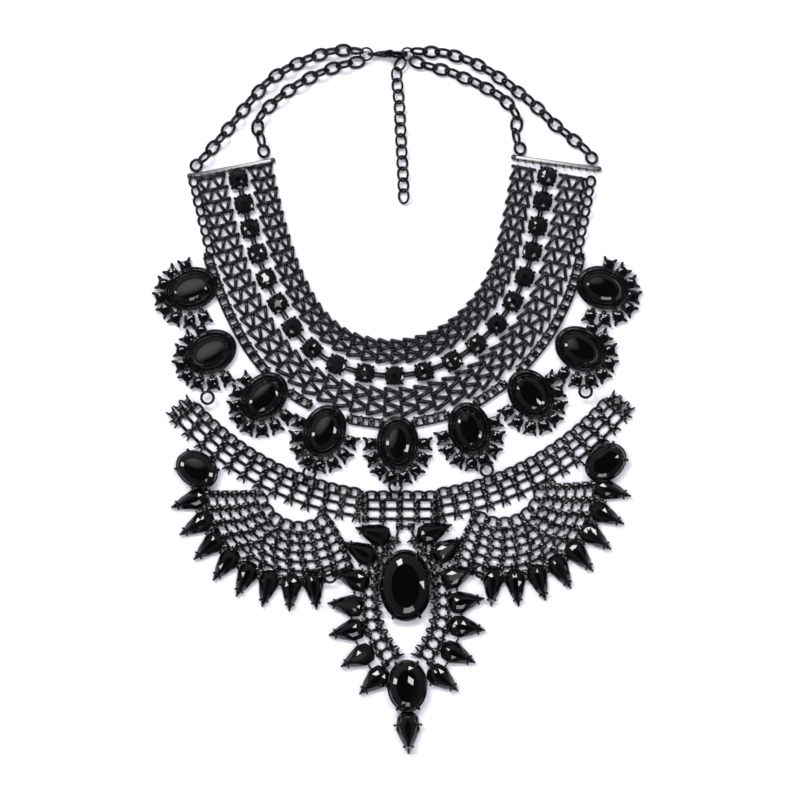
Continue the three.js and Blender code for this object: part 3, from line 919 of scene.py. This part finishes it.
def pointed_outline(length, half, shoulder, foot):
    """A pointed stone's outline from its foot at 0 to its tip, with a bellied side."""
    side = [
        (length, 0.0),
        (length * 0.66, half * 0.62),
        (length * shoulder, half),
        (length * shoulder * 0.3, half * 0.86),
        (0.0, foot),
    ]
    return np.array(side + [(x, -y) for x, y in reversed(side[1:])])


OVAL_SIDES = 20
POINTED_PRONGS = [
    # share of the length, share of the half width
    (0.96, 0.0),
    (0.84, 0.36),
    (0.84, -0.36),
    (0.3, 1.04),
    (0.3, -1.04),
]


def pointed(setting, place, lean, length, half, height, shoulder=0.33, foot=1.5):
    """A pointed stone with a thin cup and five prongs. Its tip is at the place."""
    outline = pointed_outline(length, half, shoulder, foot)
    stone = Pile()
    tilt = (random.uniform(-0.06, 0.06), random.uniform(-0.08, 0.08))
    middle = (length * 0.42, 0)
    girdle = height * 0.42
    stone.cut_stone(outline, 0.8, girdle, height, (0.55, 0.3), middle, tilt)
    bezel = Pile()
    grown = (outline - (length * 0.4, 0)) * 1.05 + (length * 0.4, 0)
    walls = [lifted(grown * 0.97, 0.0), lifted(grown, height * 0.3), lifted(outline, girdle)]
    bezel.skin(walls, smooth=False)
    for along, across in POINTED_PRONGS:
        foot_at = (length * along + (0.5 if across == 0 else 0), half * across * 1.12)
        tip_at = (length * along - 0.3, half * across * 0.86)
        prong = [(*foot_at, 0.6), (*foot_at, height * 0.55), (*tip_at, height * 0.8)]
        bezel.wire(prong, 0.36)
        bezel.bead((*foot_at, height * 0.58), 0.56)
    start = polar(*place, -length, lean)
    setting.metal.stamp(bezel, *start, lean)
    setting.stones.stamp(stone, *start, lean)


def oval_piece(name, nodes, place, lean, size, heights, prong, tilt, dome=0.0):
    """A big oval stone in a smooth cup with four prongs.

    size is the half length and half width, heights the girdle and the top, and prong the
    turn of the first prong. The nodes are the cup's and the stone's.
    """
    long, short = size
    girdle, top = heights
    profile = [
        # shares of the half length and half width, z
        (0.9, 0.9, 0.0),
        (1.03, 1.04, 0.8),
        (1.06, 1.08, girdle - 0.8),
        (1.03, 1.05, girdle - 0.2),
        (0.98, 0.98, girdle - 0.2),
    ]
    holder, gem = Pile(), Pile()
    holder.skin([lifted(oval(long * a, short * b, BEZEL_SIDES), z) for a, b, z in profile])
    for turn in (prong, 180 - prong, 180 + prong, 360 - prong):
        c, s = math.cos(math.radians(turn)), math.sin(math.radians(turn))
        foot = (long * 1.1 * c, short * 1.12 * s)
        tip = (long * 0.9 * c, short * 0.9 * s)
        path = [(*foot, 0.8), (*foot, girdle), (*tip, girdle + 1.0)]
        holder.wire(path, [0.7, 0.65, 0.45], sides=7)
    outline = oval(long, short, OVAL_SIDES, 0.5)
    gem.cut_stone(outline, 1.2, girdle, top, (0.66, 0.58), tilt=tilt, dome=dome, steps=True)
    for part, kind, material, node in zip((holder, gem), ("cup", "gem"), (METAL, GLASS), nodes):
        whole = Pile()
        whole.stamp(part, *place, lean)
        make(f"{name}_{kind}", whole, material, replaces=[node])


# ---- Fans ----------------------------------------------------------------------------


# Round a fan's eye: the number of small arches, the first cup's angle, and the pitch.
ARCHES = (7, 190, 17.3)
FAN_RINGS = (21.2, 25.4, 29.6, 33.8, 38.0, 41.8)
PETALS = 8


def fan(side_name, x, y, side, turn, stone):
    """Cups under small arches, rings of cups between rails, eight pointed stones and an oval."""

    def angle(degrees):
        return (degrees if side < 0 else 180 - degrees) + turn

    def point(radius, degrees):
        return polar(x, y, radius, angle(degrees))

    grid = Setting()
    gaps, first, pitch = ARCHES
    for k in range(gaps + 1):
        mark = first + pitch * k
        grid.cups(ROUND_CUP, point(17.9, mark), angle(mark), scale=0.88)
        if k < gaps:
            ends = (point(16.6, mark), point(16.6, mark + pitch))[::-side]
            grid.arch(*ends, 0.8, 1.15, 0.55)
    rows = []
    for line, radius in enumerate(FAN_RINGS):
        start, finish = 187.5 - 0.7 * line, 310 - 1.6 * line
        lateral = 5.3 + 0.32 * line
        count = round(math.radians(finish - start) * radius / lateral)
        marks = np.linspace(start, finish, count + 1)
        rows.append([point(radius, mark) for mark in marks])
        for mark in marks:
            grid.cups(ROUND_CUP, point(radius, mark), angle(mark), scale=1.02 + 0.02 * line)
        grid.metal.wire([(*place, RAIL_Z) for place in rows[-1]], 0.66, flat=1.2, normal=UP)
    for inner, outer in zip(rows, rows[1:]):
        for place in outer:
            nearest = min(inner, key=lambda other: np.linalg.norm(other - place))
            grid.strut(place, nearest, RAIL_Z, 0.85)
    make(f"fan_{side_name}_grid", grid.metal, METAL, replaces=[f"fan_{side_name}"])
    make(f"fan_{side_name}_chatons", grid.stones, GLASS)

    petals = Setting()
    feet = []
    for k in range(PETALS):
        tip = point(58.4 - 0.44 * k, 188.9 + 12.7 * k)
        lean = angle(198.3 + 11.25 * k)
        pointed(petals, tip, lean, 16.4, 4.45, 4.3)
        feet.append(polar(*tip, -14.2, lean))
    last_lean = lean
    for a, b in zip(feet, feet[1:]):
        petals.cups(ROUND_CUP, (a + b) / 2, last_lean, z=0.9, scale=0.85)
    make(f"fan_{side_name}_petal_cups", petals.metal, METAL)
    petal_node = f"fan_{side_name}_petals"
    make(f"fan_{side_name}_petal_gems", petals.stones, GLASS, replaces=[petal_node])
    nodes = (f"fan_{side_name}_setting", f"fan_{side_name}_stone")
    *place, lean = stone
    oval_piece(
        f"fan_{side_name}_oval", nodes, place, lean, (9.6, 7.4), (3.8, 6.6), 38, (0.03, 0.03), 0.3
    )


for fan_name, fan_row in FANS.items():
    fan(fan_name, *fan_row)

# ---- Pendant -------------------------------------------------------------------------


def on_pendant(side, up):
    offset = spun([(side, up, 0)], PENDANT_TURN)[0][:2]
    return offset + (PENDANT_X, PENDANT_Y)


OUTER_CUPS = [
    # half width, height over the big oval's middle
    (8.6, 25.2),
    (12.8, 17.2),
    (16.0, 9.4),
    (17.8, 2.2),
    (19.0, -4.6),
    (19.0, -12.2),
    (17.8, -20.0),
    (14.4, -27.4),
    (10.2, -35.0),
]
INNER_CUPS = [
    # half width, height over the big oval's middle
    (4.9, 20.2),
    (8.6, 16.6),
    (12.0, 11.4),
    (13.6, 5.0),
    (14.0, -1.6),
    (13.9, -11.4),
    (12.6, -18.4),
    (9.4, -25.2),
    (5.2, -31.2),
]
CUPS_IN_CHAIN = 13
LACE_RAIL = 0.72
NECK_CUPS = ((0.2, -63.6), (2.0, -57.3), (7.3, -57.3), (8.6, -63.6))


def chain_places(chain, side):
    """Evenly spaced places and headings of the small cups along one of the rows."""
    route = Route([on_pendant(side * half, up) for half, up in chain])
    marks = np.linspace(0, route.length, CUPS_IN_CHAIN)
    return [(route.at(mark), route.heading(mark)) for mark in marks]


def pendant():
    """Pointed stones round a big oval, two rows of small cups on each side, and a low oval."""
    lace = Setting()
    for side in (-1, 1):
        chains = []
        for chain, kind in ((OUTER_CUPS, ROUND_CUP), (INNER_CUPS, SPIKED_CUP)):
            places = chain_places(chain, side)
            for place, heading in places:
                lace.cups(kind, place, heading - 90 * side, scale=1.02)
            for (a, _), (b, _) in zip(places, places[1:]):
                lace.strut(a, b, RAIL_Z, LACE_RAIL)
            chains.append(places)
        for (a, _), (b, _) in zip(*chains):
            lace.strut(a, b, RAIL_Z, LACE_RAIL)
    for place in NECK_CUPS:
        lace.cups(ROUND_CUP, place)
    for a, b in zip(NECK_CUPS, NECK_CUPS[1:]):
        lace.strut(a, b, 1.0, 0.6)
    make("pendant_lace", lace.metal, METAL, replaces=["pendant_frame"])
    make("pendant_chatons", lace.stones, GLASS)
    for side, name in ((-1, "left"), (1, "right")):
        kites = Setting()
        for half, up, lean in KITES:
            tip = on_pendant(side * half, up)
            turn = (lean if side < 0 else 180 - lean) + PENDANT_TURN
            pointed(kites, tip, turn, 16.0, 4.8, 4.6, shoulder=0.36, foot=1.3)
        make(f"pendant_kite_cups_{name}", kites.metal, METAL)
        make(f"pendant_kite_gems_{name}", kites.stones, GLASS, replaces=[f"pendant_kites_{name}"])
    upright = 90 + PENDANT_TURN
    big, low = (PENDANT_X, PENDANT_Y), on_pendant(-0.6, -45.2)
    nodes = ("pendant_setting", "pendant_stone")
    oval_piece("pendant_oval", nodes, big, upright, (15.3, 11.0), (4.6, 8.0), 30, (0.03, -0.02))
    nodes = ("low_setting", "low_stone")
    oval_piece("pendant_low", nodes, low, upright, (11.2, 8.4), (4.2, 6.8), 32, (0.02, 0.06), 0.4)
    drop = Setting()
    tip, down = on_pendant(-0.9, -75.6), 270 + PENDANT_TURN
    pointed(drop, tip, down, 18.4, 5.2, 5.6, shoulder=0.42, foot=2.2)
    make("bottom_drop_cup", drop.metal, METAL)
    make("bottom_drop_gem", drop.stones, GLASS, replaces=["bottom_drop"])


pendant()

# ---- Rings and clasp -----------------------------------------------------------------


def flat_ring(name, x, y, z, radius, wire):
    pile = Pile()
    loop = lifted(oval(radius, radius, 28), 0.0)
    pile.wire(loop + (x, y, z), wire, closed=True, sides=10)
    make(f"{name}_round", pile, METAL, replaces=[name])


for ring_number, (ring_x, ring_y) in enumerate(HANGERS, 1):
    flat_ring(f"hanger_ring_{ring_number}", ring_x, ring_y, 3.9, 2.75, 0.62)
CLASP_Y = 155
flat_ring("clasp_ring", -12.9, CLASP_Y, 2.6, 2.8, 0.45)
flat_ring("end_ring", 5.6, CLASP_Y, 2.6, 2.8, 0.45)

# The hook's bend: its middle as x, z, its radius, and where it starts and ends, in degrees.
HOOK = (2.2, 3.65)
HOOK_RADIUS = 3.08
HOOK_FROM = 238
HOOK_TO = 435
HOOK_STATIONS = 12
# The lever's pin as x, z.
PIVOT = (-2.3, 5.6)


def on_edge(rows, y):
    """Rows of x and height, set upright beside the clasp's middle plane."""
    return [(x, CLASP_Y + y, z) for x, z in rows]


def upright_plate(pile, outline, low, high, bevel):
    """A plate of an outline in X and height, with eased edges."""
    outline = np.asarray(outline, float)
    middle = outline.mean(0)
    inset = outline + unit(middle - outline) * bevel
    loops = [
        on_edge(inset, low),
        on_edge(outline, low + bevel),
        on_edge(outline, high - bevel),
        on_edge(inset, high),
    ]
    pile.skin([np.array(loop) for loop in loops], smooth=False)


def clasp():
    """The body with its hook, tail ring, cheeks and pin, and the lever between the cheeks."""
    body = Pile()
    stations = [
        # x, z, half height, half thickness
        (-8.9, 2.6, 0.8, 0.9),
        (-7.5, 2.5, 1.5, 1.35),
        (-5.5, 2.3, 1.95, 1.6),
        (-3.6, 2.1, 1.8, 1.6),
        (-1.9, 1.65, 1.4, 1.6),
        (-0.6, 1.3, 1.0, 1.55),
    ]
    for k in range(HOOK_STATIONS):
        turn = HOOK_FROM + (HOOK_TO - HOOK_FROM) * k / (HOOK_STATIONS - 1)
        place = polar(*HOOK, HOOK_RADIUS, turn)
        stations.append((*place, 0.62 - 0.012 * k, 1.5 - 0.03 * k))
    path = np.array([(x, CLASP_Y, z) for x, z, _, _ in stations])
    along = unit(np.gradient(path, axis=0))
    over = np.cross(along, (0.0, 1.0, 0.0))
    turns = np.arange(12) * math.pi / 6
    loops = [
        p + np.outer(np.cos(turns) * row[2], o) + np.outer(np.sin(turns) * row[3], (0.0, 1.0, 0.0))
        for p, o, row in zip(path, over, stations)
    ]
    body.skin(loops)
    tail = [(x - 10.35, CLASP_Y, z + 2.6) for x, z in oval(1.68, 1.68, 20)]
    body.wire(tail, 0.42, closed=True, sides=8, flat=1.7)
    for side in (-1, 1):
        rim = [polar(*PIVOT, 1.4, turn) for turn in range(-20, 201, 20)]
        outline = rim + [np.array([-4.4, 3.2]), np.array([-0.9, 2.4])]
        inside, outside = sorted((side * 0.95, side * 1.6))
        upright_plate(body, outline, inside, outside, 0.12)
    pin = [(PIVOT[0], CLASP_Y - 1.6, PIVOT[1]), (PIVOT[0], CLASP_Y + 1.6, PIVOT[1])]
    body.wire(pin, 0.45, sides=12)
    make("clasp_body_cast", body, METAL, replaces=["clasp_body"])

    lever = Pile()
    x, z = PIVOT
    outline = [polar(x, z, 1.15, turn) for turn in range(100, 311, 21)]
    outline += [
        (x + 5.1, z - 0.4),
        (x + 4.2, z + 0.7),
        (x + 1.9, z + 0.9),
        (x + 1.3, z + 2.2),
        (x + 0.5, z + 2.2),
    ]
    upright_plate(lever, outline, -0.6, 0.6, 0.1)
    make("clasp_lever_cast", lever, METAL, replaces=["clasp_lever"], body="clasp_lever")


clasp()

# ---- Stage ---------------------------------------------------------------------------

FLOOR = 3.0
CAMERA_PLACE = (2.25 * MM, -0.45 * MM, 2.0)
TENT_LIGHT = 0.42
TENT_TOP = 0.05
TENT_DIM = 0.35
TENT_GLOW = 1.7


def tent(tree):
    """A light tent: bright at the sides, and dark overhead but for a soft glow.

    Its upper left side, as seen from above with the clasp up, is the brightest.
    """
    nodes, links = tree.nodes, tree.links
    coords = nodes.new("ShaderNodeTexCoord")
    parts = []
    for axis, near, far, low, high in (
        # the overhead dark, the brighter side, the glow
        ((0.0, 0.0, 1.0), 0.93, 0.74, TENT_TOP, TENT_LIGHT),
        ((-0.45, 0.9, 0.0), -1.0, 1.0, TENT_DIM, 1.0),
        ((-0.22, 0.26, 0.94), 0.955, 0.995, 0.0, TENT_GLOW),
    ):
        facing = nodes.new("ShaderNodeVectorMath")
        facing.operation = "DOT_PRODUCT"
        facing.inputs[1].default_value = axis
        links.new(coords.outputs["Generated"], facing.inputs[0])
        ramp = nodes.new("ShaderNodeMapRange")
        ramp.inputs["From Min"].default_value = near
        ramp.inputs["From Max"].default_value = far
        ramp.inputs["To Min"].default_value = low
        ramp.inputs["To Max"].default_value = high
        links.new(facing.outputs["Value"], ramp.inputs["Value"])
        parts.append(ramp.outputs["Result"])
    product = nodes.new("ShaderNodeMath")
    product.operation = "MULTIPLY"
    links.new(parts[0], product.inputs[0])
    links.new(parts[1], product.inputs[1])
    level = nodes.new("ShaderNodeMath")
    level.operation = "ADD"
    links.new(product.outputs["Value"], level.inputs[0])
    links.new(parts[2], level.inputs[1])
    background = nodes["Background"]
    background.inputs["Color"].default_value = (0.95, 0.96, 1.0, 1)
    links.new(level.outputs["Value"], background.inputs["Strength"])


def stage():
    """A white floor, the tent, soft lights from all sides, and a camera straight above."""
    scene = bpy.context.scene
    floor_mesh = bpy.data.meshes.new("floor")
    corners = [(FLOOR * x, FLOOR * y, 0) for x, y in ((-1, -1), (1, -1), (1, 1), (-1, 1))]
    floor_mesh.from_pydata(corners, [], [(0, 1, 2, 3)])
    floor = bpy.data.objects.new("floor", floor_mesh)
    scene.collection.objects.link(floor)
    white = shiny("white_paper", (0.9, 0.9, 0.97), 0.9, 0.0)
    floor_mesh.materials.append(white)

    world = bpy.data.worlds.new("studio")
    world.use_nodes = True
    tent(world.node_tree)
    scene.world = world

    for name, place, wide, tall, power in (
        # metres and watts
        ("key_light", (-0.62, 0.78, 1.2), 0.42, 0.42, 12.5),
        ("bar_light", (-0.02, 1.07, 1.5), 0.56, 0.2, 7.0),
        ("right_light", (0.52, 0.72, 1.05), 0.2, 0.2, 2.8),
        ("low_right_light", (0.95, -0.2, 0.72), 0.2, 0.2, 2.2),
        ("low_light", (0.1, -0.95, 0.95), 0.5, 0.4, 3.8),
        ("left_light", (-0.95, 0.05, 0.7), 0.2, 0.2, 2.2),
        ("window_light", (0.58, -0.2, 1.75), 0.15, 0.3, 2.4),
    ):
        data = bpy.data.lights.new(name, "AREA")
        data.shape = "RECTANGLE"
        data.size = wide
        data.size_y = tall
        data.energy = power
        light = bpy.data.objects.new(name, data)
        light.location = place
        aim = -light.location
        light.rotation_euler = aim.to_track_quat("-Z", "Y").to_euler()
        scene.collection.objects.link(light)

    camera_data = bpy.data.cameras.new("camera")
    camera_data.lens = 200
    camera_data.sensor_width = 36
    camera = bpy.data.objects.new("camera", camera_data)
    camera.location = CAMERA_PLACE
    scene.collection.objects.link(camera)
    scene.camera = camera
    scene.view_settings.view_transform = "Standard"


stage()
